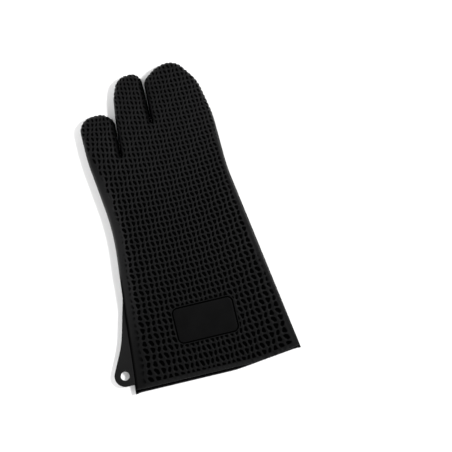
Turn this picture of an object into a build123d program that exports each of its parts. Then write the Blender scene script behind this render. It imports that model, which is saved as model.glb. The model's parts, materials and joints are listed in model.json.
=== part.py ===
"""Moulded silicone gauntlet glove with a thumb stall, an index stall and one wide stall for the other
three fingers. It lies on the back of the hand: +Y runs to the fingertips, +Z up out of the palm, and the
thumb is on the -X side. The moulding is divided at its parting plane and at the lines where it bends."""

import os

from build123d import *

# Driving dimensions, in millimetres. The origin is under the middle of the glove, on the surface under it.
wall = 2.2  # mean of the rib tops and the floors of the pits between them
back_depth = 12.0  # from the parting plane down to the back of the hand
palm_depth = 15.0  # from the parting plane up to the palm
mouth_depth = 4.5  # the same at the mouth of the cuff, where the palm side comes down
land = 1.5  # upright strip on each side of the parting plane
draft = 12.0  # of the side walls, in degrees
shoulder_slopes = ((0.7, 32.0), (0.3, 62.0))  # share of the shoulder's height, and degrees from upright
palm_shoulder = 7.0  # height of the rounded shoulder between a side wall and the face
back_shoulder = 5.0
cut_gap = 0.3  # left open between two bodies

mouth_y = -172.0
palm_start_y = -42.0  # the palm side is level from here to the fingertips
palm_lip_bend_x = 62.0  # both lips sweep towards the fingers on the little-finger side of these bends
back_lip_bend_x = 30.0
lip_sweep = 0.154  # rise of the palm lip for each millimetre across
back_lip_sweep = 0.118
lip_bend_radius = 150.0
rim_width = 5.0

wrist_y = -12.0
knuckle_y = 90.0
finger_root_y = 121.0
index_joint_y = 147.0
mitt_joint_y = 149.0

thumb_crotch_x, thumb_crotch_y = -40.7, 87.0
finger_crotch_x, finger_crotch_y = 1.25, 117.0
slot_width = 1.4

tab_end_radius = 12.0
tab_hole_radius = 5.0
tab_thickness = 2 * land
tab_bottom_y = -166.0
tab_lean = 0.5  # run of the tab's free edge across, for each millimetre along the glove
tab_bend_y = -119.0
tab_bend_radius = 120.0
tab_top = (-72.0, -47.5)

badge_size = (67.0, 38.5)
badge_corner = 5.5
badge_centre = (8.8, -112.8)
badge_thickness = 1.0

reach = 500.0  # longer than the glove, for cutting tools
past_mouth_y = -190.0  # the side walls run on to here before the lips are trimmed

# Outline at the parting plane, as corner x, corner y and radius, clockwise from below the mouth on the
# thumb side.
half_slot = slot_width / 2
slot_end_radius = 0.9 * half_slot
thumb_side = [
    (-87.8, past_mouth_y, 0.0),
    (-69.0, 6.0, 250.0),
    (-79.0, 90.0, 200.0),
]
thumb_stall = [
    (-79.2, 137.5, 17.0),
    (-50.8, 137.5, 12.0),
    (-39.0, 128.0, 11.0),
    (thumb_crotch_x - half_slot, thumb_crotch_y, slot_end_radius),
]
index_stall = [
    (thumb_crotch_x + half_slot, thumb_crotch_y, slot_end_radius),
    (-37.7, 129.0, 60.0),
    (-34.2, 153.0, 40.0),
    (-25.7, 173.5, 17.0),
    (1.0, 173.8, 12.0),
    (finger_crotch_x - half_slot, finger_crotch_y, slot_end_radius),
]
mitt_stall = [
    (finger_crotch_x + half_slot, finger_crotch_y, slot_end_radius),
    (2.8, 162.8, 11.0),
    (17.2, 173.5, 15.0),
    (32.2, 177.9, 22.0),
    (45.2, 173.5, 18.0),
    (61.8, 150.0, 45.0),
    (69.8, 111.0, 120.0),
]
little_finger_side = [
    (71.8, 49.0, 200.0),
    (109.0, past_mouth_y, 0.0),
]
corners = (thumb_side + thumb_stall + index_stall + mitt_stall + little_finger_side)[::-1]

with BuildSketch() as outer_outline:
    with BuildLine():
        FilletPolyline(*[(x, y) for x, y, _ in corners], radius=[r for _, _, r in corners], close=True)
    make_face()

with BuildSketch() as inner_outline:
    add(outer_outline.sketch)
    offset(amount=-wall, kind=Kind.ARC)

parting_z = back_depth
fingertip_y = outer_outline.sketch.bounding_box().max.Y
back_lip_y = -fingertip_y
palm_slope = (palm_depth - mouth_depth) / (palm_start_y - mouth_y)


def moulded_half(outline, depth, shoulder):
    """Half of the outer form, or of the hollow in it, standing on Z = 0: land, drafted wall and shoulder."""
    stages = [(depth - land - shoulder, draft)]
    stages += [(share * shoulder, slope) for share, slope in shoulder_slopes]
    with BuildPart() as half:
        add(outline)
        extrude(amount=land)
        for height, slope in stages:
            extrude(half.faces().sort_by(Axis.Z)[-1], amount=height, taper=slope)
    return half.part


def under_roof(solid, depth):
    """Brings the face of a palm-side half down towards the mouth of the cuff."""
    start_y = past_mouth_y - 1
    start_z = depth - palm_slope * (palm_start_y - start_y)
    roof = [(start_y, start_z), (palm_start_y, depth), (reach, depth)]
    with BuildPart() as lowered:
        add(solid)
        with BuildSketch(Plane.YZ):
            with BuildLine():
                Polyline((start_y, -1), *roof, (reach, -1), close=True)
            make_face()
        extrude(amount=reach, both=True, mode=Mode.INTERSECT)
    return lowered.part


def beyond_lip(bend_x, lip_y, sweep):
    """Everything on the open side of a lip, as a solid to cut with."""
    with BuildPart() as beyond:
        with BuildSketch():
            with BuildLine():
                path = FilletPolyline(
                    (-reach, lip_y),
                    (bend_x, lip_y),
                    (bend_x + reach, lip_y + sweep * reach),
                    radius=lip_bend_radius,
                )
                Polyline(path @ 1, (path @ 1) - (0, reach), (-reach, lip_y - reach), path @ 0)
            make_face()
        extrude(amount=reach, both=True)
    return beyond.part


hollow_depth = palm_depth - wall
hollow = moulded_half(inner_outline.sketch, hollow_depth, palm_shoulder - wall)
with BuildPart() as palm_half:
    add(under_roof(moulded_half(outer_outline.sketch, palm_depth, palm_shoulder), palm_depth))
    add(under_roof(hollow, hollow_depth), mode=Mode.SUBTRACT)
    add(beyond_lip(palm_lip_bend_x, mouth_y, lip_sweep), mode=Mode.SUBTRACT)

with BuildPart() as back_half:
    add(moulded_half(outer_outline.sketch, back_depth, back_shoulder))
    add(moulded_half(inner_outline.sketch, back_depth - wall, back_shoulder - wall), mode=Mode.SUBTRACT)
    add(beyond_lip(back_lip_bend_x, back_lip_y, back_lip_sweep), mode=Mode.SUBTRACT)

palm_shell = palm_half.part.moved(Location((0, 0, parting_z)))
back_shell = back_half.part.mirror(Plane.XY).moved(Location((0, 0, parting_z)))


def slab(solid, low_y, high_y):
    """The stretch of a shell between two cuts across the glove."""
    with BuildPart() as stretch:
        add(solid)
        with Locations((0, (low_y + high_y) / 2, 0)):
            Box(reach, high_y - low_y, reach, mode=Mode.INTERSECT)
    return stretch.part


def save(solid, node):
    """Writes one piece under its own name."""
    with BuildPart() as piece:
        add(solid)
    piece.part.label = node
    export_step(piece.part, f"parts/{node}.step")


os.makedirs("parts", exist_ok=True)
half_gap = cut_gap / 2
lips = {
    "palm": (palm_lip_bend_x, mouth_y + rim_width, lip_sweep),
    "back": (back_lip_bend_x, back_lip_y + rim_width, back_lip_sweep),
}
for side, shell in (("palm", palm_shell), ("back", back_shell)):
    gauntlet = slab(shell, past_mouth_y, wrist_y - half_gap)
    with BuildPart() as rim:
        add(gauntlet)
        add(beyond_lip(*lips[side]), mode=Mode.INTERSECT)
    save(rim.part, f"rim_{side}")
    with BuildPart() as cuff:
        add(gauntlet)
        add(beyond_lip(*lips[side]), mode=Mode.SUBTRACT)
    save(cuff.part, f"cuff_{side}")
    save(slab(shell, wrist_y + half_gap, knuckle_y - half_gap), f"hand_{side}")

    thumb, fingers = slab(shell, knuckle_y + half_gap, reach).solids().sort_by(Axis.X)
    save(thumb, f"thumb_{side}")
    save(slab(fingers, knuckle_y, finger_root_y - half_gap), f"knuckles_{side}")
    index, mitt = slab(fingers, finger_root_y + half_gap, reach).solids().sort_by(Axis.X)
    for finger, whole, joint_y in (("index", index, index_joint_y), ("mitt", mitt, mitt_joint_y)):
        save(slab(whole, finger_root_y, joint_y - half_gap), f"{finger}_base_{side}")
        save(slab(whole, joint_y + half_gap, reach), f"{finger}_tip_{side}")

# The hanging flange stands out of the thumb side in the parting plane and ends in a round eye.
tab_end_x = tab_end_radius - max(palm_shell.bounding_box().max.X, back_shell.bounding_box().max.X)
tab_end_y = tab_bottom_y + tab_end_radius
edge_length = (1 + tab_lean**2) ** 0.5
tab_edge_x = tab_end_x - tab_end_radius * edge_length - tab_lean * tab_end_radius
tab_bend_x = tab_edge_x + tab_lean * (tab_bend_y - tab_bottom_y)
tab_root_x = tab_top[0] + tab_end_radius
with BuildPart() as hang_tab:
    with BuildSketch(Plane.XY.offset(parting_z)):
        with BuildLine():
            FilletPolyline(
                (tab_root_x, tab_bottom_y),
                (tab_edge_x, tab_bottom_y),
                (tab_bend_x, tab_bend_y),
                tab_top,
                (tab_root_x, tab_top[1]),
                radius=[0, tab_end_radius, tab_bend_radius, 0, 0],
                close=True,
            )
        make_face()
        add(outer_outline.sketch, mode=Mode.SUBTRACT)
    extrude(amount=tab_thickness / 2, both=True)
    with Locations((tab_end_x, tab_end_y, parting_z)):
        Hole(tab_hole_radius)
hang_tab.part.label = "hang_tab"
export_step(hang_tab.part, "parts/hang_tab.step")

# The badge is a blank raised plaque on the sloping palm side of the cuff.
badge_x, badge_y = badge_centre
badge_z = parting_z + palm_depth - palm_slope * (palm_start_y - badge_y)
badge_plane = Plane(origin=(badge_x, badge_y, badge_z), x_dir=(1, 0, 0), z_dir=(0, -palm_slope, 1))
with BuildPart() as badge:
    with BuildSketch(badge_plane):
        RectangleRounded(*badge_size, badge_corner)
    extrude(amount=badge_thickness)
badge.part.label = "badge"
export_step(badge.part, "parts/badge.step")
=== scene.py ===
"""The moulded silicone gauntlet glove: ribbed skin, smooth edges, badge and hanging tab, over the CAD frame.

Lengths are in millimetres until a mesh is made. +Y runs to the fingertips, the palm faces +Z and the thumb
is on the -X side. The palm side and the back are two skins that meet at the parting plane. Each is made as
one surface and then divided where the glove bends, so that every piece joins its neighbours exactly."""

import json
import math

import bpy
import numpy as np
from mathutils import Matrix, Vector
from mathutils.geometry import delaunay_2d_cdt
from mathutils.kdtree import KDTree


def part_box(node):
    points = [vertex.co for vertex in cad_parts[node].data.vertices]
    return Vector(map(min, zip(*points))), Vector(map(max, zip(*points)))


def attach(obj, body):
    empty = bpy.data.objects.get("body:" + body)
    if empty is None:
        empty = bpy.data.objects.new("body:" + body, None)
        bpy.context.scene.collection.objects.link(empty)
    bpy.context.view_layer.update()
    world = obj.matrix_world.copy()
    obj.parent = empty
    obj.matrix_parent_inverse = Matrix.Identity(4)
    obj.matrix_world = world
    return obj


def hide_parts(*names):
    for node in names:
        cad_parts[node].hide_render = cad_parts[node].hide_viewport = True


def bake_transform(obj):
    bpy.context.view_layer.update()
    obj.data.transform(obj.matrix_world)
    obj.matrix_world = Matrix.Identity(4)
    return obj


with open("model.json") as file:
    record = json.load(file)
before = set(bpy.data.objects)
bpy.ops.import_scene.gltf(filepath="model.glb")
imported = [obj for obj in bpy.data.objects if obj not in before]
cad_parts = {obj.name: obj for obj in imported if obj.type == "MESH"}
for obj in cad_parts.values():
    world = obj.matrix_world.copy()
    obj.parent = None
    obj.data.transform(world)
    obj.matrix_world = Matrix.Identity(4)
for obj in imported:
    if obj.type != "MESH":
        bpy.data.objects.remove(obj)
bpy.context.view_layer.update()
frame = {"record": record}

METRE = 1000.0


def corner_mm(node):
    """Lowest and highest corner of a CAD node, in millimetres."""
    low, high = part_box(node)
    return np.array(low) * METRE, np.array(high) * METRE


def between(node, next_node):
    """The Y of the cut between two nodes that follow each other along the glove."""
    return (corner_mm(node)[1][1] + corner_mm(next_node)[0][1]) / 2


# ---------- places, from the frame

tab_low, tab_high = corner_mm("hang_tab")
badge_low, badge_high = corner_mm("badge")
parting_z = (tab_low[2] + tab_high[2]) / 2
palm_depth = corner_mm("hand_palm")[1][2] - parting_z
back_depth = parting_z - corner_mm("hand_back")[0][2]
mouth_y = corner_mm("rim_palm")[0][1]
back_lip_y = corner_mm("rim_back")[0][1]
wrist_y = between("cuff_palm", "hand_palm")
knuckle_y = between("hand_palm", "knuckles_palm")
finger_root_y = between("knuckles_palm", "index_base_palm")
index_joint_y = between("index_base_palm", "index_tip_palm")
mitt_joint_y = between("mitt_base_palm", "mitt_tip_palm")
eye = next(m for m in frame["record"]["mounts"] if m["name"] == "hang_eye")
eye_x, eye_y = (METRE * value for value in eye["pos_m"][:2])

# ---------- form of the moulding

wall = 2.2
mouth_depth = 4.5  # palm side, above the parting plane, at the mouth
palm_start_y = -42.0  # the palm side is level from here to the fingertips
roof_blend = 22.0  # length over which the level part turns into the slope
palm_lip = (62.0, mouth_y, 0.18)  # bend x, lip y and sweep
back_lip = (30.0, back_lip_y, 0.118)
lip_bend_radius = 150.0
rim_width = 5.0
lip_round = 0.9  # radius of the lip's outer edge
lip_highlight_width = 1.5  # width of the painted highlight along the edge inside the mouth
lip_least_height = 0.6  # the lip's inner edge is rounded only above this height
hair = 0.001  # closer than this is touching
past_mouth_y = -190.0
past_side_x = 120  # lines across the glove run from one side to the other between these

side_profile = ((0.0, 0.0), (0.8, 0.62), (2.4, 1.0), (9.0, 1.0))  # Bezier: inset, share of the depth
flash_width = 0.22  # the fine ridge left along the parting line
flash_height = 0.45
flash_rise = 0.04  # the ridge reaches its height this far in
tab_shoulder = 2.0  # how much wider the palm's shoulder is at the mouth, beside the tab
tab_shoulder_y = (-165, -70)  # it narrows again between these
thumb_side_x = (20, 50)  # distances from the middle
palm_crown = 1.1  # how much the palm swells in the middle
crown_start = 6.0  # distance from the sides where that starts
crown_reach = 20.0  # distance over which it grows
crown_rise = (10, 70)  # distances from the lip between which it sets in

thumb_crotch = (-40.7, 87.0)
thumb_slot_end = (-38.35, 128.5)
finger_crotch = (1.25, 117.0)
finger_slot_end = (1.9, 165.0)
half_slot = 0.3  # narrower than in the CAD, so that the slots look as dark as the real ones
slot_end_radius = 0.9 * half_slot
corner_step = math.radians(7)  # largest turn from point to point

# Corners of the outline at the parting plane, as x, y and radius, clockwise from below the mouth. The list
# is turned round at its end, so that the glove is on the line's left.
outline_corners = [
    (-87.8, past_mouth_y, 0.0),
    (-69.0, 6.0, 250.0),
    (-79.0, 90.0, 200.0),
    (-79.2, 137.5, 17.0),
    (-50.8, 137.5, 12.0),
    (-39.0, 128.0, 11.0),
    (thumb_crotch[0] - half_slot, thumb_crotch[1], slot_end_radius),
    (thumb_crotch[0] + half_slot, thumb_crotch[1], slot_end_radius),
    (-37.7, 129.0, 60.0),
    (-34.2, 153.0, 40.0),
    (-25.7, 173.5, 17.0),
    (1.0, 173.8, 12.0),
    (finger_crotch[0] - half_slot, finger_crotch[1], slot_end_radius),
    (finger_crotch[0] + half_slot, finger_crotch[1], slot_end_radius),
    (2.8, 162.8, 11.0),
    (17.2, 173.5, 15.0),
    (32.2, 177.9, 22.0),
    (45.2, 173.5, 18.0),
    (61.8, 150.0, 45.0),
    (69.8, 111.0, 120.0),
    (71.8, 49.0, 200.0),
    (109.0, past_mouth_y, 0.0),
][::-1]

# ---------- relief of ribs and pits

# Four shapes of pit follow each other along a row, and each row is one pit further on than the row below.
# A pit is the convex core through these points, in mm from its lattice point, widened by its radius.
pit_shapes = (
    (((-0.68, 0.61), (1.08, -2.24), (0.49, -0.04)), 1.36),  # leaf, leaning back
    (((-0.50, 0.66), (0.46, -2.58), (1.54, -0.05)), 1.02),  # triangle, point down
    (((-0.05, -1.85), (0.56, 0.28)), 1.36),  # slot, leaning forward
    (((0.10, 0.74), (-0.60, -1.32), (0.80, -2.04)), 1.18),  # triangle, point up
)
pit_pitch = (5.18, 6.21)  # spacing of the pits across and along, where the shapes have their own size
pit_step = math.radians(38)
pit_shrinking = 0.30  # how much narrower all round the pits are at the fingertips
pit_shrinking_y = (10, 125)  # they grow narrower between these
rib_profile = ((-0.75, -1.50), (-0.32, -0.62), (0.0, 0.12), (0.30, 0.45))  # off a pit's edge; height
smooth_height = 0.35  # plain bands stand nearly level with the ribs
smooth_run = (0.4, 2.5)  # distances from the parting line between which they reach it
painted_highlight_relief = 1.0  # colour value of the tab and the lips, above that of any rib: a painted highlight

lattice_unit = (10, 20)  # columns and rows that count as one in the lattice's law
lattice_rows = range(-27, 32)
lattice_columns = range(-20, 20)
lattice_middle = (7.2, 2.1)  # nearly where column 0 of row 0 lies
lattice_pitch = (5.1, 6.2)  # the spacing there
lattice_steps = 24
straight_after = 1.15  # past this many units across, the law's fifth power runs on straight
thumb_closing = 34  # draws the thumb's rows together, past these many units across and along
thumb_units = (0.95, 0.7)

# Plain bands along the sides: Y, width, and the run over which the pits set in beyond.
thumb_side_bands = (
    (-160, 9.0, 8.0),
    (-110, 9.5, 5.0),
    (-80, 8.5, 6.0),
    (-45, 8.0, 4.5),
    (-15, 9.5, 1.6),
    (20, 10.5, 1.6),
    (45, 10.5, 1.6),
    (75, 9.0, 1.6),
    (105, 2.6, 1.6),
    (125, 0.4, 1.6),
)
little_side_bands = ((20, 5.5, 1.6), (90, 3.0, 1.6), (125, 0.4, 1.6))
narrow_band = 0.3  # round the fingertips and in the slots
band_lead = 0.2  # the pits set in this far before the band's end
tip_facing = (0.2, 0.7)  # how squarely the outline faces the fingers, where the band narrows
tip_band_y = (90, 110)

# Where the outline belongs to a slot: X of the middle, half the width, and both ends along Y.
slot_places = (
    (thumb_crotch[0] + 1, 3.2, thumb_crotch[1] - 1, 128),
    (finger_crotch[0], 2.6, finger_crotch[1] - 1, math.inf),
)

# Grooves down the walls of the fingertips, and of the little finger's side of the mitt.
tip_groove = ((0.0, -1.2), (0.0, 1.0))  # its core, along the outline and inwards
tip_groove_radius = 0.95
tip_groove_pitch = 5.1
tip_groove_profile = ((-0.36, -1.15), (-0.06, -0.10), (0.14, 0.28), (0.50, 0.45))
groove_facing = (0.12, 0.35)  # as tip_facing
groove_y = (110, 120)
little_groove_y = (100, 125)
little_groove_x = 20

# Groove round the badge.
groove_width = 1.3
groove_wall = 0.3
groove_depth = -1.3
badge_rim = 2.3  # the pits stop this far from the badge

# Painted shade and painted highlights, which only the colour follows, and where each starts and ends.
slot_shade = 1.3  # for the walls of the slots and the valley along the tab
slot_reach = (0.6, 3.0)  # inwards from the outline
valley_reach = (1.2, 4.6)
valley_end_y = (-60, -35)
band_highlight_height = 0.5  # painted highlight for the ribs beside the plain band on the thumb side
band_highlight_reach = (10, 22)
band_highlight_start_y = (-130, -70)
band_highlight_end_y = (40, 90)


def smoothstep(value, low, high):
    """0 up to low, 1 from high on, and a smooth rise between them."""
    t = np.clip((value - low) / (high - low), 0, 1)
    return t * t * (3 - 2 * t)


def thumb_share(x):
    """0 on the little finger's side and in the middle, 1 on the thumb's side."""
    return smoothstep(-x, *thumb_side_x)


def lattice_place(across, along):
    """Where a point of the lattice lies on the glove: a smooth law fitted to the rows in the photo."""
    a, b = across / lattice_unit[0], along / lattice_unit[1]
    bent = np.clip(a, -straight_after, straight_after)
    fifth = np.where(b > 0, bent**5 + 5 * bent**4 * (a - bent), a**5)
    # Columns: evenly spread, leaning, closer together towards the fingers, wider at the sides of the cuff.
    x = 7.22 + 50.02 * a - 2.12 * b - 5.88 * a * b + 1.21 * b**2
    x = x + 1.84 * a**3 - 1.23 * fifth * b + 0.905 * a**2 * b**3
    # Rows: evenly spread, closer together towards the fingers, sloping and bowed.
    y = 2.11 + 124.56 * b - 6.63 * b**2 + 2.76 * b**3 - 2.76 * b**4 + 0.37 * b**6
    y = y + 1.05 * a + 3.13 * a**2 - 3.66 * a * b - 6.93 * a * b**2 + 2.89 * a * b**4
    y = y - thumb_closing * np.maximum(-a - thumb_units[0], 0) * np.maximum(b - thumb_units[1], 0)
    return x, y


def lattice_index(x, y):
    """The lattice coordinates of points on the glove, found in steps by the spacing there."""
    across = (x - lattice_middle[0]) / lattice_pitch[0]
    along = (y - lattice_middle[1]) / lattice_pitch[1]
    for _ in range(lattice_steps):
        at_x, at_y = lattice_place(across, along)
        a, b = across / lattice_unit[0], along / lattice_unit[1]
        column_pitch = 5.0 - 0.59 * b + 0.55 * a**2
        row_pitch = 6.23 - 0.66 * b + 0.41 * b**2 - 0.55 * b**3 + 0.11 * b**5
        across = across + (x - at_x) / column_pitch
        along = along + (y - at_y) / row_pitch
    return across, along


def core_distance(x, y, core):
    """Distance outside a convex core of points, given against the clock or as the two ends of a line."""
    nearest = np.full(len(x), 99.0)
    inside = np.full(len(x), len(core) > 2)
    for (ax, ay), (bx, by) in zip(core, core[1:] + core[:1]):
        run_x, run_y = bx - ax, by - ay
        t = np.clip(((x - ax) * run_x + (y - ay) * run_y) / (run_x**2 + run_y**2), 0, 1)
        nearest = np.minimum(nearest, np.hypot(x - ax - run_x * t, y - ay - run_y * t))
        inside &= run_x * (y - ay) - run_y * (x - ax) >= 0
    return np.where(inside, -nearest, nearest)


def pit_distance(x, y):
    """Distance outside the nearest pit's edge: below zero in a pit."""
    across, along = lattice_index(x, y)
    nearest = np.full(len(x), 9.0)
    for row_step in (-1, 0, 1):
        row = np.round(along) + row_step
        for column_step in (-1, 0, 1):
            column = np.round(across) + column_step
            kind = np.mod(column - row, len(pit_shapes)).astype(int)
            off_x = (across - column) * pit_pitch[0]
            off_y = (along - row) * pit_pitch[1]
            for number, (core, radius) in enumerate(pit_shapes):
                those = kind == number
                reach = core_distance(off_x[those], off_y[those], core) - radius
                nearest[those] = np.minimum(nearest[those], reach)
    return nearest + pit_shrink(y)


def pit_shrink(y):
    """How much narrower all round the pits are at a place along the glove."""
    return pit_shrinking * smoothstep(y, *pit_shrinking_y)


def pit_line(core, radius):
    """The closed line at a distance round a core, about its own lattice point."""
    points = []
    for i, here in enumerate(core):
        before = np.array(core[i - 1]) - here
        after = np.array(core[(i + 1) % len(core)]) - here
        start = math.atan2(before[1], before[0]) + math.pi / 2
        turn = (math.atan2(after[1], after[0]) - math.pi / 2 - start) % (2 * math.pi)
        steps = max(2, round(turn / pit_step))
        for step in range(steps + 1):
            angle = start + turn * step / steps
            points.append((here[0] + radius * math.cos(angle), here[1] + radius * math.sin(angle)))
    return np.array(points)


# ---------- lines in plan


def rounded_line(corners, spacing):
    """A closed line with rounded corners, with points about spacing apart at most."""
    points = []
    count = len(corners)
    for i, (x, y, radius) in enumerate(corners):
        here = np.array((x, y))
        back = np.array(corners[i - 1][:2]) - here
        ahead = np.array(corners[(i + 1) % count][:2]) - here
        back = back / np.hypot(*back)
        ahead = ahead / np.hypot(*ahead)
        if radius == 0:
            points.append(here)
            continue
        half = math.acos(np.clip(back @ ahead, -1, 1)) / 2
        middle = (back + ahead) / np.hypot(*(back + ahead))
        centre = here + middle * radius / math.sin(half)
        turn = math.pi - 2 * half
        start = here + back * radius / math.tan(half) - centre
        side = 1 if back[0] * ahead[1] - back[1] * ahead[0] < 0 else -1
        steps = max(math.ceil(turn / corner_step), math.ceil(radius * turn / spacing))
        for step in range(steps + 1):
            angle = side * turn * step / steps
            c, s = math.cos(angle), math.sin(angle)
            points.append(centre + (start[0] * c - start[1] * s, start[0] * s + start[1] * c))
    return divided(np.array(points + points[:1]), spacing)[:-1]


def divided(points, spacing):
    """The line with extra points on its long runs."""
    out = [points[:1]]
    for a, b in zip(points[:-1], points[1:]):
        steps = max(1, math.ceil(np.hypot(*(b - a)) / spacing))
        out.append(a + (b - a) * (np.arange(1, steps + 1) / steps)[:, None])
    return np.concatenate(out)


def circle_line(x, y, radius, count):
    """Points round a circle, against the clock."""
    angle = np.arange(count) * 2 * math.pi / count
    return np.stack((x + radius * np.cos(angle), y + radius * np.sin(angle)), 1)


class Edge:
    """A closed line, with the distance from it to points: positive inside, which is on its left."""

    def __init__(self, points):
        self.points = points
        self.ahead = np.roll(points, -1, 0) - points
        tangent = np.roll(points, -1, 0) - np.roll(points, 1, 0)
        tangent = tangent / np.hypot(tangent[:, 0], tangent[:, 1])[:, None]
        self.inward = np.stack((-tangent[:, 1], tangent[:, 0]), 1)
        self.lengths = np.hypot(self.ahead[:, 0], self.ahead[:, 1])
        self.start = np.concatenate(((0,), np.cumsum(self.lengths)))
        self.tree = KDTree(len(points))
        for i, (x, y) in enumerate(points):
            self.tree.insert((x, y, 0), i)
        self.tree.balance()

    def nearest(self, points):
        """For each point: its distance inside the line, and the index of the line's nearest point."""
        index = np.array([self.tree.find((x, y, 0))[1] for x, y in points])
        best = np.full(len(points), 1e9)
        signed = np.zeros(len(points))
        for first in (index, index - 1):
            a, run = self.points[first], self.ahead[first]
            t = np.clip(((points - a) * run).sum(1) / (run * run).sum(1), 0, 1)
            off = points - a - run * t[:, None]
            distance = np.hypot(off[:, 0], off[:, 1])
            cross = run[:, 0] * off[:, 1] - run[:, 1] * off[:, 0]
            closer = distance < best
            signed = np.where(closer, np.where(cross >= 0, distance, -distance), signed)
            best = np.minimum(best, distance)
        return signed, index

    def position(self, points, index):
        """How far along the line each point is, when the line's point of that index is near it."""
        tangent = np.stack((self.inward[index, 1], -self.inward[index, 0]), 1)
        return self.start[index] + ((points - self.points[index]) * tangent).sum(1)

    def place(self, along, inset):
        """The points at distances along the line and in from it."""
        along = np.mod(along, self.start[-1])
        index = np.searchsorted(self.start, along, side="right") - 1
        index = np.minimum(index, len(self.points) - 1)
        share = ((along - self.start[index]) / self.lengths[index])[:, None]
        inward = self.inward[index] * (1 - share) + self.inward[(index + 1) % len(self.points)] * share
        return self.points[index] + self.ahead[index] * share + inward * inset[:, None]

    def inset(self, amount):
        """The line moved inwards, and which of its points are really that far in."""
        moved = self.points + self.inward * amount
        signed, _ = self.nearest(moved)
        return moved, signed > amount - 0.03


class Plan:
    """Points and lines in plan, which become a triangulated surface."""

    def __init__(self):
        self.points = []
        self.edges = []
        self.count = 0

    def line(self, points, closed=False, keep=None):
        """Adds a line of points; where keep is false, the line is broken."""
        keep = np.ones(len(points), bool) if keep is None else keep
        number = np.full(len(points), -1)
        number[keep] = self.count + np.arange(keep.sum())
        self.points.append(points[keep])
        self.count += int(keep.sum())
        pairs = np.stack((number, np.roll(number, -1)), 1)
        pairs = pairs if closed else pairs[:-1]
        self.edges.append(pairs[(pairs >= 0).all(1)])

    def triangles(self):
        """The points of the surface in plan, and its triangles."""
        points = np.concatenate(self.points)
        edges = np.concatenate(self.edges)
        out = delaunay_2d_cdt([Vector(p) for p in points], edges.tolist(), [], 0, 1e-5)
        return np.array([tuple(v) for v in out[0]]), np.array(out[2])


def lip_curve(lip, x):
    """The Y of a lip across the glove: level, then swept towards the fingers round a gentle bend."""
    bend_x, lip_y, sweep = lip
    slope = math.atan(sweep)
    reach = lip_bend_radius * math.tan(slope / 2)
    run = np.clip(x - (bend_x - reach), 0, lip_bend_radius * math.sin(slope))
    bent = lip_bend_radius - np.sqrt(lip_bend_radius**2 - run**2)
    past = np.maximum(x - (bend_x - reach) - lip_bend_radius * math.sin(slope), 0)
    return lip_y + bent + past * sweep


def lip_distance(lip, x, y):
    """How far a point is inside the mouth."""
    lean = np.where(x > lip[0], 1 / math.hypot(1, lip[2]), 1.0)
    return (y - lip_curve(lip, x)) * lean


outline_spacing = 1.3
outline = Edge(rounded_line(outline_corners, outline_spacing))
badge_x, badge_y = (badge_low[:2] + badge_high[:2]) / 2
badge_half = (badge_high[:2] - badge_low[:2]) / 2
badge_corner = 5.5
badge_spacing = 1.5


def badge_line(grow):
    """The badge's outline, enlarged by grow."""
    half_x, half_y = badge_half + grow
    radius = badge_corner + grow
    corners = [(-half_x, -half_y), (half_x, -half_y), (half_x, half_y), (-half_x, half_y)]
    return rounded_line([(badge_x + x, badge_y + y, radius) for x, y in corners], badge_spacing)


badge_edge = Edge(badge_line(0.0))
badge_rim_edge = Edge(badge_line(badge_rim))

# ---------- heights


def bezier_curve(corners, count):
    """Points along a cubic Bezier curve."""
    t = np.linspace(0, 1, count)
    weights = ((1 - t) ** 3, 3 * (1 - t) ** 2 * t, 3 * (1 - t) * t**2, t**3)
    return sum(np.outer(weight, corner) for weight, corner in zip(weights, corners))


def side_band(bands, y):
    """Width of the plain band at places along a side, and the run over which the pits set in."""
    places, widths, runs = zip(*bands)
    return np.interp(y, places, widths), np.interp(y, places, runs)


def slotted(index):
    """Whether the outline's points of that index are in a slot between two stalls."""
    at_x, at_y = outline.points[index].T
    found = np.zeros(len(index), bool)
    for middle, half_width, low_y, high_y in slot_places:
        found |= (np.abs(at_x - middle) < half_width) & (at_y > low_y) & (at_y < high_y)
    return found


def ribbed(inside, index):
    """How much of the pits' depth a point has: none in the plain bands, all of it among the ribs."""
    at_x, at_y = outline.points[index].T
    facing = -outline.inward[index][:, 1]
    thumb_band, thumb_run = side_band(thumb_side_bands, at_y)
    little_band, little_run = side_band(little_side_bands, at_y)
    band = np.where(at_x < 0, thumb_band, little_band)
    run = np.where(at_x < 0, thumb_run, little_run)
    band = np.where(slotted(index), narrow_band, band)
    tip = smoothstep(facing, *tip_facing) * smoothstep(at_y, *tip_band_y)
    band = band * (1 - tip) + narrow_band * tip
    return smoothstep(inside, band - band_lead, band - band_lead + run)


def tipped(index):
    """How deep the grooves down the side wall are: nothing but at the fingertips and the mitt's side."""
    at_x, at_y = outline.points[index].T
    facing = -outline.inward[index][:, 1]
    tip = smoothstep(facing, *groove_facing) * smoothstep(at_y, *groove_y)
    return np.maximum(tip, smoothstep(at_y, *little_groove_y) * (at_x > little_groove_x))


def lip_drop(rim, size):
    """How far the rounding of the lip takes a skin down at a distance inside the mouth."""
    t = np.clip(1 - rim / lip_round, 0, 1)
    return size * (1 - np.sqrt(1 - t * t))


bezier = bezier_curve(side_profile, 200)


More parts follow.
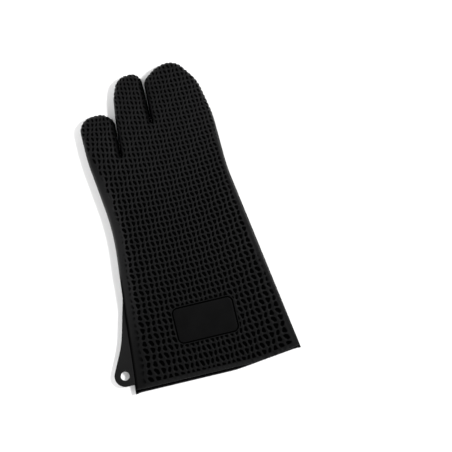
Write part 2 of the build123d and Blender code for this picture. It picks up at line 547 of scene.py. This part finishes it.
class Side:
    """One of the two moulded skins. Heights are away from the parting plane, and up is +1 or -1."""

    def __init__(self, name, up, depth, crown, lip):
        self.name = name
        self.up = up
        self.depth = depth
        self.crown = crown
        self.lip = lip
        self.is_palm = up > 0

    def face_depth(self, y):
        """Height of the face: level, or coming down towards the mouth of the cuff."""
        if not self.is_palm:
            return np.full(len(y), self.depth)
        slope = (self.depth - mouth_depth) / (palm_start_y - mouth_y)
        under = palm_start_y - y
        eased = np.where(under > roof_blend / 2, under, (under + roof_blend / 2) ** 2 / (2 * roof_blend))
        return self.depth - slope * np.where(under < -roof_blend / 2, 0, eased)

    def base(self, flat, inside, inset=0.0):
        """Height of the plain surface, or of the hollow when inset is the wall."""
        x, y = flat.T
        level = self.face_depth(y) - inset
        stretch = 1 + tab_shoulder * (1 - smoothstep(y, *tab_shoulder_y)) * thumb_share(x) * self.is_palm
        rise = np.interp((inside - inset - flash_width) / stretch, bezier[:, 0], bezier[:, 1])
        swelling = (np.maximum(inside - crown_start, 0) / crown_reach) ** 2
        crown = self.crown * (1 - np.exp(-swelling * 2))
        crown = crown * smoothstep(lip_distance(self.lip, x, y), *crown_rise)
        edge = np.clip((inside - inset) / flash_rise, 0, 1) * flash_height * (inset == 0)
        start = flash_height * (inset == 0)
        height = np.where(inside - inset > flash_width, start + (level - start) * rise, edge)
        return np.maximum(height, 0) + crown

    def relief(self, flat, inside, index):
        """Height of the surface above its plain form."""
        x, y = flat.T
        distance, height = zip(*rib_profile)
        ribs = np.interp(pit_distance(x, y), distance, height)
        mask = ribbed(inside, index)
        rim = lip_distance(self.lip, x, y)
        mask = mask * np.clip((rim - rim_width) / groove_wall, 0, 1)
        if self.is_palm:
            near, _ = badge_edge.nearest(flat)
            mask = mask * np.clip((-near - badge_rim) / groove_wall, 0, 1)
        level = smooth_height * smoothstep(inside, *smooth_run)
        ribs = level + (ribs - level) * mask
        around = outline.position(flat, index)
        off = np.mod(around + tip_groove_pitch / 2, tip_groove_pitch) - tip_groove_pitch / 2
        distance, height = zip(*tip_groove_profile)
        grooves = np.interp(core_distance(off, inside, tip_groove) - tip_groove_radius, distance, height)
        grooved = np.minimum(ribs, level + (grooves - level) * tipped(index))
        out = np.where(grooves < tip_groove_profile[-1][1], grooved, ribs)
        if self.is_palm:
            wall_share = np.clip((-near - groove_width) / groove_wall, 0, 1)
            sunk = groove_depth + (out - groove_depth) * wall_share
            out = np.where(near > -groove_width - groove_wall, sunk, out)
        return out


palm = Side("palm", 1, palm_depth, palm_crown, palm_lip)
back = Side("back", -1, back_depth - rib_profile[-1][1], 0.0, back_lip)

# ---------- skins


# Rings of points: their distances in from the outline.
outer_rings = (0.05, flash_width, flash_width + 0.12, 0.65, 1.1, 1.8, 2.8, 4.2, 6.0, 8.0, 11.0)
inner_rings = (0.0, 0.35, 0.8, 1.5, 2.6, 4.5, 9.0)
# Lines along the lip, and round the badge: distances from these.
outer_lip_lines = (0.0, 0.12, 0.4, lip_round, rim_width, rim_width + groove_wall)
inner_lip_lines = (0.0, lip_round / 3, lip_round, lip_highlight_width, lip_highlight_width + 0.3, 12.0)
badge_lines = (-1.0, 0.0, groove_width, groove_width + groove_wall, badge_rim, badge_rim + groove_wall)
lip_points = 161
cut_spacing = 2.0
thumb_gap_x = -38.9  # cuts that don't cross the whole glove end at these, between or beside the stalls
index_side_x = -38.0
finger_gap_x = 1.6
pit_outside = -3  # a pit whose middle is further out than this is left out
least_inset = 0.08  # lines of pits and grooves stop short of the outline
groove_inset = 0.06
least_relief = 0.02  # lines of pits stop where the pits are this shallow
grid_step = 11.0  # points in the middle of the inner skin
grid_inset = 10


def cut_lines(plan):
    """The lines where the moulding is divided."""
    for y, low_x, high_x in (
        (wrist_y, -past_side_x, past_side_x),
        (knuckle_y, -past_side_x, past_side_x),
        (finger_root_y, thumb_gap_x, past_side_x),
        (index_joint_y, index_side_x, finger_gap_x),
        (mitt_joint_y, finger_gap_x, past_side_x),
    ):
        plan.line(divided(np.array(((low_x, y), (high_x, y)), float), cut_spacing))


def lip_lines(plan, side, offsets):
    """Lines across the glove that follow the lip, at distances inside the mouth."""
    for offset in offsets:
        x = np.linspace(-past_side_x, past_side_x, lip_points)
        lean = np.where(x > side.lip[0], math.hypot(1, side.lip[2]), 1.0)
        plan.line(np.stack((x, lip_curve(side.lip, x) + offset * lean), 1))


def ring_lines(plan, insets):
    """Lines along the outline, broken where a stall is too narrow for them."""
    for inset in insets:
        points, keep = outline.inset(inset)
        plan.line(points, closed=True, keep=keep)


def pit_lines(plan, side):
    """The contours of every pit, except in a plain band, the rim or the badge."""
    for row in lattice_rows:
        for column in lattice_columns:
            middle = np.array([lattice_place(column, row)])
            if outline.nearest(middle)[0][0] < pit_outside:
                continue
            core, radius = pit_shapes[(column - row) % len(pit_shapes)]
            radius = radius - pit_shrink(middle[0][1])
            for distance, _ in rib_profile:
                shape = pit_line(core, radius + distance)
                x, y = lattice_place(column + shape[:, 0] / pit_pitch[0], row + shape[:, 1] / pit_pitch[1])
                points = np.stack((x, y), 1)
                inside, index = outline.nearest(points)
                keep = (inside > least_inset) & (lip_distance(side.lip, x, y) > rim_width)
                keep &= ribbed(inside, index) > least_relief
                if side.is_palm:
                    keep &= badge_rim_edge.nearest(points)[0] < 0
                plan.line(points, closed=True, keep=keep)


def tip_groove_lines(plan):
    """The contours of the grooves down the fingertips' walls."""
    for number in range(int(outline.start[-1] / tip_groove_pitch)):
        middle = number * tip_groove_pitch
        nearest = outline.nearest(outline.place(np.array([middle]), np.zeros(1)))[1]
        if tipped(nearest)[0] == 0:
            continue
        for distance, _ in tip_groove_profile:
            along, inset = pit_line(tip_groove, tip_groove_radius + distance).T
            plan.line(outline.place(middle + along, inset), closed=True, keep=inset > groove_inset)


def outer_plan(side):
    """Everything that the outer skin's triangles have to follow."""
    plan = Plan()
    plan.line(outline.points, closed=True)
    ring_lines(plan, outer_rings)
    cut_lines(plan)
    lip_lines(plan, side, outer_lip_lines)
    if side.is_palm:
        for grow in badge_lines:
            plan.line(badge_line(grow), closed=True)
    pit_lines(plan, side)
    tip_groove_lines(plan)
    return plan


def inner_plan(side):
    """The same for the skin of the hollow, which is plain."""
    plan = Plan()
    ring_lines(plan, [wall + ring for ring in inner_rings])
    cut_lines(plan)
    lip_lines(plan, side, inner_lip_lines)
    x, y = np.meshgrid(np.arange(-100, 101, grid_step), np.arange(-180, 181, grid_step))
    points = np.stack((x.ravel(), y.ravel()), 1)
    inside, _ = outline.nearest(points)
    plan.points.append(points[inside > wall + grid_inset])
    plan.count += int((inside > wall + grid_inset).sum())
    return plan


def piece_names(points):
    """The name of the piece that each point belongs to."""
    x, y = points.T

    def beyond(low, high):
        return x > low[0] + (high[0] - low[0]) * (y - low[1]) / (high[1] - low[1])

    fingers = beyond(thumb_crotch, thumb_slot_end)
    mitt = beyond(finger_crotch, finger_slot_end)
    conditions = [y < wrist_y, y < knuckle_y, ~fingers, y < finger_root_y]
    conditions += [mitt & (y < mitt_joint_y), mitt, y < index_joint_y]
    names = ["cuff", "hand", "thumb", "knuckles", "mitt_base", "mitt_tip", "index_base"]
    return np.select(conditions, names, "index_tip")


def unit(vectors):
    return vectors / np.maximum(np.linalg.norm(vectors, axis=1), 1e-12)[:, None]


def face_normals(corners):
    return unit(np.cross(corners[:, 1] - corners[:, 0], corners[:, 2] - corners[:, 0]))


def corner_normals(points, triangles):
    """Smooth normals at the points: the triangles' normals weighted by their angle there."""
    normal = np.zeros_like(points)
    corners = points[triangles]
    face = face_normals(corners)
    for i in range(3):
        one = corners[:, (i + 1) % 3] - corners[:, i]
        two = corners[:, (i + 2) % 3] - corners[:, i]
        lengths = np.linalg.norm(one, axis=1) * np.linalg.norm(two, axis=1)
        angle = np.arccos(np.clip((one * two).sum(1) / np.maximum(lengths, 1e-12), -1, 1))
        np.add.at(normal, triangles[:, i], face * angle[:, None])
    return unit(normal)


def compact(triangles):
    """The points' numbers that triangles use, and the triangles by place among those."""
    used, places = np.unique(triangles, return_inverse=True)
    return used, places.reshape(-1, 3)


def open_edges(triangles):
    """The edges, from point to point, that only one triangle has."""
    pairs = np.concatenate((triangles[:, [0, 1]], triangles[:, [1, 2]], triangles[:, [2, 0]]))
    known = set(map(tuple, pairs.tolist()))
    return [(a, b) for a, b in known if (b, a) not in known]


def shaded(side, flat, inside, index, relief):
    """The relief that the colour follows: lowered by painted shade on the walls of the slots and in the
    valley along the tab, raised by a painted highlight on the ribs beside the thumb side's plain band.
    """
    x, y = flat.T
    relief = relief - slot_shade * slotted(index) * (1 - smoothstep(inside, *slot_reach))
    by_tab = side.is_palm * (1 - smoothstep(y, *valley_end_y)) * thumb_share(x)
    relief = relief - slot_shade * by_tab * (1 - smoothstep(inside, *valley_reach))
    highlighted = (1 - smoothstep(inside, *band_highlight_reach)) * thumb_share(x)
    highlighted = highlighted * smoothstep(y, *band_highlight_start_y) * (1 - smoothstep(y, *band_highlight_end_y))
    return relief + band_highlight_height * highlighted * np.clip(relief / smooth_height, 0, 1)


def skin(side, plan, inset):
    """A triangulated skin, with smooth normals and the relief that the colour follows, which carries painted
    shade and painted highlights.
    """
    flat, triangles = plan.triangles()
    centres = flat[triangles].mean(1)
    inside, _ = outline.nearest(centres)
    keep = (inside > inset) & (lip_distance(side.lip, *centres.T) > 0)
    used, triangles = compact(triangles[keep])
    flat = flat[used]
    inside, index = outline.nearest(flat)
    inside = np.maximum(inside, inset)
    rim = lip_distance(side.lip, *flat.T)
    height = side.base(flat, inside, inset)
    points = np.column_stack((flat, height))
    seam = inside - inset < hair
    if inset == 0:
        relief = side.relief(flat, inside, index)
        normal = corner_normals(points, triangles)
        normal[seam, 2] = 0
        points = points + normal * relief[:, None]
        # painted highlight along the lip's outer edge; painted shade and highlights from shaded() elsewhere
        relief = np.where(rim < lip_round, painted_highlight_relief, shaded(side, flat, inside, index, relief))
        points[:, 2] -= np.minimum(lip_drop(rim, lip_round), points[:, 2])
    else:
        # painted shade: the hollow's skin takes the darkest tone, of a pit's floor, with a painted highlight
        # along its edge inside the mouth
        relief = np.where(rim < lip_highlight_width + 10 * hair, painted_highlight_relief, rib_profile[0][1])
        points[:, 2] += np.where(height > lip_least_height, lip_drop(rim, lip_round / 2), 0)
    points[seam, 2] = 0
    return {
        "points": points,
        "triangles": triangles,
        "normals": corner_normals(points, triangles),
        "relief": relief,
        "seam": seam,
        "pieces": piece_names(flat[triangles].mean(1)),
    }


# ---------- pieces


def edge_loop(triangles):
    """The numbers of the points round the edge of a surface, in order."""
    after = dict(open_edges(triangles))
    first = min(after)
    loop = [first]
    while after[loop[-1]] != first:
        loop.append(after[loop[-1]])
    if len(loop) != len(after):
        raise ValueError(f"the edge has {len(after)} points and its first loop {len(loop)}")
    return loop


def runs_between_corners(loop, seam):
    """The edge loop as runs along the parting plane and runs across a cut or the mouth."""
    on_seam = seam[loop]
    both_sides = np.roll(on_seam, 1) & np.roll(on_seam, -1)
    changes = np.flatnonzero(on_seam & ~both_sides)
    corners = {loop[i] for i in changes}
    start = changes[0]
    order = loop[start:] + loop[: start + 1]
    runs = []
    current = [order[0]]
    for number in order[1:]:
        current.append(number)
        if number in corners:
            runs.append(current)
            current = [number]
    return runs


def run_shares(run, points):
    """How far along its run each point is, from 0 to 1."""
    steps = np.linalg.norm(np.diff(points[run], axis=0), axis=1)
    total = np.concatenate(((0,), np.cumsum(steps)))
    return total / total[-1]


def bridge(outer_run, inner_run, outer_shares, inner_shares):
    """Triangles that join two runs of points from end to end."""
    out = []
    i = j = 0
    while i < len(outer_run) - 1 or j < len(inner_run) - 1:
        next_outer = outer_shares[i + 1] if i < len(outer_run) - 1 else 2
        next_inner = inner_shares[j + 1] if j < len(inner_run) - 1 else 2
        if next_outer <= next_inner:
            out.append((outer_run[i + 1], outer_run[i], inner_run[j]))
            i += 1
        else:
            out.append((outer_run[i], inner_run[j], inner_run[j + 1]))
            j += 1
    return out


def part_of(surface, name):
    """One piece's part of a skin: its points' numbers, its triangles, and its edge in runs."""
    used, triangles = compact(surface["triangles"][surface["pieces"] == name])
    return used, triangles, runs_between_corners(edge_loop(triangles), surface["seam"][used])


def closing_faces(outer_points, outer_runs, inner_points, inner_runs):
    """Triangles between the edges of two surfaces, from each run to the nearest."""
    starts = np.array([inner_points[run[0], :2] for run in inner_runs])
    ends = np.array([inner_points[run[-1], :2] for run in inner_runs])
    shift = len(outer_points)
    faces = []
    for run in outer_runs:
        start, end = outer_points[run[0], :2], outer_points[run[-1], :2]
        match = np.argmin(((starts - start) ** 2).sum(1) + ((ends - end) ** 2).sum(1))
        other = inner_runs[match]
        shares = run_shares(run, outer_points), run_shares(other, inner_points)
        faces += bridge(run, [shift + number for number in other], *shares)
    return np.array(faces)


def tray(side, name, outer, inner):
    """The closed solid of one piece: its parts of both skins, joined round their edges."""
    outer_used, outer_faces, outer_runs = part_of(outer, name)
    inner_used, inner_faces, inner_runs = part_of(inner, name)
    outer_points = outer["points"][outer_used]
    inner_points = inner["points"][inner_used]
    if len(outer_runs) != len(inner_runs):
        raise ValueError(f"{name} {side.name}: {len(outer_runs)} outer and {len(inner_runs)} inner runs")
    closing = closing_faces(outer_points, outer_runs, inner_points, inner_runs)
    shift = len(outer_points)
    points = np.concatenate((outer_points, inner_points))
    faces = np.concatenate((outer_faces, inner_faces[:, ::-1] + shift, closing))
    smooth = np.concatenate((outer["normals"][outer_used], -inner["normals"][inner_used]))
    flat = np.repeat(face_normals(points[closing])[:, None], 3, 1)
    normals = np.concatenate((smooth[faces[: -len(closing)]], flat))
    relief = np.concatenate((outer["relief"][outer_used], inner["relief"][inner_used]))
    turned = np.array((1, 1, side.up))
    points = points * turned + (0, 0, parting_z)
    normals = normals * turned
    if side.up < 0:
        faces = faces[:, ::-1]
        normals = normals[:, ::-1]
    return mesh_object(f"glove_{name}_{side.name}", points, faces, normals, relief)


def new_object(name, data):
    """A Blender object in the scene."""
    thing = bpy.data.objects.new(name, data)
    bpy.context.scene.collection.objects.link(thing)
    return thing


def mesh_object(name, points, faces, normals, relief):
    """A Blender object of a mesh in millimetres."""
    mesh = bpy.data.meshes.new(name)
    mesh.from_pydata((points / METRE).tolist(), [], faces.tolist())
    mesh.validate()
    mesh.update()
    # besides the height of the relief, this carries the painted shade and painted highlights that the colour
    # follows
    attribute = mesh.attributes.new("relief", "FLOAT", "POINT")
    attribute.data.foreach_set("value", relief.astype(np.float32))
    mesh.shade_smooth()
    mesh.normals_split_custom_set(normals.reshape(-1, 3).tolist())
    return new_object(name, mesh)


def plate(name, lines, margins, rounding, face, underside, relief):
    """A flat closed piece inside lines, with rounded edges. Margins are the insets of its rings."""
    plan = Plan()
    edges = [Edge(line) for line in lines]
    for edge in edges:
        for margin in margins:
            plan.line(edge.inset(margin)[0], closed=True)
    flat, triangles = plan.triangles()

    def inside(points):
        return np.min([edge.nearest(points)[0] for edge in edges], 0)

    used, triangles = compact(triangles[inside(flat[triangles].mean(1)) > 0])
    flat = flat[used]
    rise = np.interp(np.maximum(inside(flat), 0), margins, round_rise(margins, rounding))
    top = np.column_stack((flat, face(flat, rise)))
    bottom = np.column_stack((flat, underside(flat, rise)))
    rim = open_edges(triangles)
    shift = len(flat)
    sides = [(b, a, a + shift) for a, b in rim] + [(b, a + shift, b + shift) for a, b in rim]
    faces = np.concatenate((triangles, triangles[:, ::-1] + shift, np.array(sorted(sides))))
    points = np.concatenate((top, bottom))
    normals = corner_normals(points, faces)[faces]
    return mesh_object(name, points, faces, normals, np.full(len(points), relief))


def round_rise(margins, radius):
    """Heights of a rounded edge, as a drop below the face."""
    t = np.clip(1 - np.array(margins) / radius, 0, 1)
    return -radius * (1 - np.sqrt(1 - t * t))


badge_margins = (0.0, 0.08, 0.25, 0.5, 0.8, 2.5, 8.0)
badge_round = 0.8
badge_top = 0.55  # height of the plaque above the plain form of the cuff
badge_foot = 0.2  # the plaque starts this far under the floor of its groove


def make_badge():
    """The blank plaque, which follows the slope of the cuff and stands in its groove."""

    def surface(flat):
        return parting_z + palm.base(flat, outline.nearest(flat)[0])

    return plate(
        "badge_plaque",
        [badge_line(0.0)],
        badge_margins,
        badge_round,
        lambda flat, rise: surface(flat) + badge_top + rise,
        lambda flat, rise: surface(flat) + groove_depth - badge_foot,
        smooth_height,
    )


tab_end_radius = eye_x - tab_low[0]
tab_hole_radius = eye["dims"]["r_mm"]
tab_lean = 0.5  # run of the tab's free edge across, for each millimetre along the glove
tab_bend_y = -119.0
tab_bend_radius = 120.0
tab_root = 1.2  # how far the tab runs into the wall of the glove
tab_side_x = -60  # the outline is beside the tab where X is below this
tab_margins = (0.0, 0.1, 0.3, 0.6, 1.0, 2.2)
tab_round = 0.9
tab_spacing = 1.6
eye_points = 48


def make_tab():
    """The hanging flange in the parting plane, with its round eye."""
    edge_length = math.hypot(1, tab_lean)
    edge_x = eye_x - tab_end_radius * edge_length - tab_lean * tab_end_radius
    bend_x = edge_x + tab_lean * (tab_bend_y - tab_low[1])
    x, y = outline.points.T
    beside = x[(x < tab_side_x) & (y > tab_low[1]) & (y < tab_high[1])]  # the last is nearest the mouth
    corners = [
        (beside[-1] + tab_root, tab_low[1], 0.0),
        (beside[0] + tab_root, tab_high[1], 0.0),
        (bend_x, tab_bend_y, tab_bend_radius),
        (edge_x, tab_low[1], tab_end_radius),
    ]
    free = rounded_line(corners, tab_spacing)
    half = (tab_high[2] - tab_low[2]) / 2
    hole = circle_line(eye_x, eye_y, tab_hole_radius, eye_points)[::-1]
    return plate(
        "hanging_tab",
        [free, hole],
        tab_margins,
        tab_round,
        lambda flat, rise: parting_z + half + rise,
        lambda flat, rise: parting_z - half - rise,
        # painted highlight: the tab takes the lightest colour value
        painted_highlight_relief,
    )


# ---------- materials


class Tree:
    """The nodes of a material or a world, with short ways to add more."""

    def __init__(self, owner):
        owner.use_nodes = True
        self.nodes = owner.node_tree.nodes
        self.links = owner.node_tree.links

    def fill(self, node, **inputs):
        """Gives inputs a value or a link. Their names have underscores for spaces."""
        for name, value in inputs.items():
            socket = node.inputs[name.replace("_", " ")]
            if isinstance(value, bpy.types.NodeSocket):
                self.links.new(value, socket)
            else:
                socket.default_value = value
        return node

    def add(self, kind, **inputs):
        return self.fill(self.nodes.new(kind), **inputs)

    def noise(self, place, scale, detail=2.0, rough=0.5):
        node = self.add("ShaderNodeTexNoise", Vector=place, Scale=scale, Detail=detail, Roughness=rough)
        return node.outputs["Fac"]

    def share(self, value, low, high):
        """A value as a share of the way from low to high."""
        return self.add("ShaderNodeMapRange", Value=value, From_Min=low, From_Max=high).outputs["Result"]

    def axis(self, place, name):
        return self.add("ShaderNodeSeparateXYZ", Vector=place).outputs[name]

    def ramp(self, value, stops):
        """Colours or greys at stops from 0 to 1, and the blends between them."""
        node = self.add("ShaderNodeValToRGB", Fac=value)
        elements = node.color_ramp.elements
        while len(elements) < len(stops):
            elements.new(0.5)
        for element, (position, shade) in zip(elements, stops):
            element.position = position
            element.color = (*shade, 1) if isinstance(shade, tuple) else (shade, shade, shade, 1)
        return node.outputs["Color"]

    def combined(self, way, first, second):
        """Two colours multiplied or added."""
        mix = self.add("ShaderNodeMix", Factor=1.0)
        mix.data_type = "RGBA"
        mix.blend_type = way
        sockets = [socket for socket in mix.inputs if socket.type == "RGBA"]
        self.links.new(first, sockets[0])
        self.links.new(second, sockets[1])
        return next(socket for socket in mix.outputs if socket.type == "RGBA")


sheen_stops = ((0.3, 0.0), (0.6, 0.02), (0.78, 0.065), (1.0, 0.09))
patch_stops = ((0.3, 0.82), (0.7, 1.0))
mouth_shade_y = 0.16  # metres from the middle: painted shade makes the glove darker towards the mouth
mouth_shade_stops = ((0.0, 0.62), (0.6, 1.0))
dust_stops = ((0.66, (0.0, 0.0, 0.0)), (0.80, (0.001, 0.001, 0.001)))
grain_height = 0.00012  # metres


def silicone(name, tone_stops, gloss, grain):
    """Moulded silicone with a fine grain, shinier along the ribs. Its colour follows the relief attribute,
    with painted shade in the pits, grooves and hollow, and painted highlights on the tab and lips; painted
    shade also darkens it towards the mouth.
    """
    material = bpy.data.materials.new(name)
    tree = Tree(material)
    place = tree.add("ShaderNodeTexCoord").outputs["Object"]
    relief = tree.add("ShaderNodeAttribute")
    relief.attribute_name = "relief"
    height = tree.share(relief.outputs["Fac"], rib_profile[0][1], painted_highlight_relief)
    tone = tree.ramp(height, tone_stops)
    patches = tree.ramp(tree.noise(place, 28, 3.0), patch_stops)
    # painted shade, darker towards the mouth
    mouth_shade = tree.ramp(tree.share(tree.axis(place, "Y"), -mouth_shade_y, mouth_shade_y), mouth_shade_stops)
    dust = tree.ramp(tree.noise(place, 900, 2.0, 0.7), dust_stops)
    toned = tree.combined("MULTIPLY", tree.combined("MULTIPLY", tone, patches), mouth_shade)
    rough = tree.ramp(tree.noise(place, 60, 4.0, 0.6), ((0.25, gloss - 0.06), (0.75, gloss + 0.08)))
    fine = tree.noise(place, 2600, 3.0, 0.6)
    bump = tree.add("ShaderNodeBump", Strength=grain, Distance=grain_height, Height=fine)
    tree.fill(
        tree.nodes["Principled BSDF"],
        Base_Color=tree.combined("ADD", toned, dust),
        Specular_IOR_Level=tree.ramp(height, sheen_stops),
        Roughness=rough,
        Normal=bump.outputs["Normal"],
    )
    return material


black_tone = (
    (0.0, (0.0010, 0.0010, 0.0010)),  # floor of a pit, darkest by painted shade
    (0.5, (0.0026, 0.0026, 0.0027)),
    (0.78, (0.0042, 0.0042, 0.0044)),  # top of a rib
    (1.0, (0.0085, 0.0085, 0.0088)),  # tab and lips, lightest by painted highlight
)
badge_tone = (
    (0.0, (0.0008, 0.0008, 0.0008)),
    (0.5, (0.0012, 0.0012, 0.0013)),
    (0.78, (0.0016, 0.0016, 0.0017)),
    (1.0, (0.0020, 0.0020, 0.0021)),
)
silicone_black = silicone("silicone_black", black_tone, gloss=0.50, grain=0.5)
silicone_badge = silicone("silicone_badge", badge_tone, gloss=0.46, grain=0.35)

# ---------- assembly

blends = {
    "hand": ("cuff", wrist_y, 27.0),
    "thumb": ("hand", knuckle_y, 24.0),
    "knuckles": ("hand", knuckle_y, 27.0),
    "index_base": ("knuckles", finger_root_y, 22.0),
    "index_tip": ("index_base", index_joint_y, 17.0),
    "mitt_base": ("knuckles", finger_root_y, 24.0),
    "mitt_tip": ("mitt_base", mitt_joint_y, 17.0),
}

for side in (palm, back):
    outer = skin(side, outer_plan(side), 0.0)
    inner = skin(side, inner_plan(side), wall)
    for name in ("cuff", *blends):
        piece = tray(side, name, outer, inner)
        piece.data.materials.append(silicone_black)
        if name == "cuff":
            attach(piece, "cuff")
            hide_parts(f"cuff_{side.name}", f"rim_{side.name}")
            continue
        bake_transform(piece)
        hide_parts(f"{name}_{side.name}")

badge = make_badge()
badge.data.materials.append(silicone_badge)
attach(badge, "cuff")
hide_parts("badge")

tab = make_tab()
tab.data.materials.append(silicone_black)
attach(tab, "cuff")
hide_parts("hang_tab")

# ---------- floor, light and camera

view_turn = math.radians(-13.4)
view_right = Vector((math.cos(view_turn), math.sin(view_turn), 0))
view_up = Vector((-math.sin(view_turn), math.cos(view_turn), 0))
view_centre = Vector((0.05525, -0.0165, parting_z / METRE))
view_distance = 1.6  # assumed, from the parting plane
view_width = 0.50624  # seen across the picture, at the parting plane
clip_start = 0.01
sensor_width = 36  # of the camera, in millimetres

floor_half = 4
paper_stops = ((0.3, 0.90), (0.7, 0.92))
sky_stops = ((0.0, 1.0), (0.70, 0.95), (0.92, 0.16), (1.0, 0.08))  # from the horizon up
sky_strength = 1.4


def make_paper():
    """Matt white paper with faint patches."""
    material = bpy.data.materials.new("paper")
    tree = Tree(material)
    patches = tree.noise(tree.add("ShaderNodeTexCoord").outputs["Object"], 3)
    tone = tree.ramp(patches, paper_stops)
    tree.fill(tree.nodes["Principled BSDF"], Base_Color=tone, Roughness=0.8, Specular_IOR_Level=0.1)
    return material


def make_floor():
    """A large square of paper on the ground."""
    mesh = bpy.data.meshes.new("floor")
    corners = [(x * floor_half, y * floor_half, 0) for x, y in ((-1, -1), (1, -1), (1, 1), (-1, 1))]
    mesh.from_pydata(corners, [], [(0, 1, 2, 3)])
    mesh.materials.append(make_paper())
    return new_object("floor", mesh)


def make_sky():
    """The white studio round the glove, which is dark overhead."""
    world = bpy.data.worlds.new("studio")
    bpy.context.scene.world = world
    tree = Tree(world)
    height = tree.axis(tree.add("ShaderNodeTexCoord").outputs["Generated"], "Z")
    tree.fill(tree.nodes["Background"], Color=tree.ramp(height, sky_stops), Strength=sky_strength)


def area_light(name, right, up, high, size, power):
    """A soft light, placed in the picture's own directions and aimed at the glove."""
    data = bpy.data.lights.new(name, "AREA")
    data.shape = "SQUARE"
    data.size = size
    data.energy = power
    light = new_object(name, data)
    light.location = view_right * right + view_up * up + Vector((0, 0, high))
    light.rotation_euler = (-light.location).to_track_quat("-Z", "Y").to_euler()


def make_camera():
    """A camera straight above, turned as the glove lies in the photo."""
    data = bpy.data.cameras.new("camera")
    data.sensor_width = sensor_width
    data.lens = data.sensor_width * view_distance / view_width
    data.clip_start = clip_start
    camera = new_object("camera", data)
    camera.location = view_centre + Vector((0, 0, view_distance))
    camera.rotation_euler = (0, 0, view_turn)
    bpy.context.scene.camera = camera


floor = make_floor()
make_sky()
area_light("key", right=0.85, up=0.30, high=1.9, size=0.2, power=30)
area_light("fill", right=-0.9, up=0.5, high=0.9, size=0.8, power=6)
make_camera()
bpy.context.scene.view_settings.view_transform = "Standard"
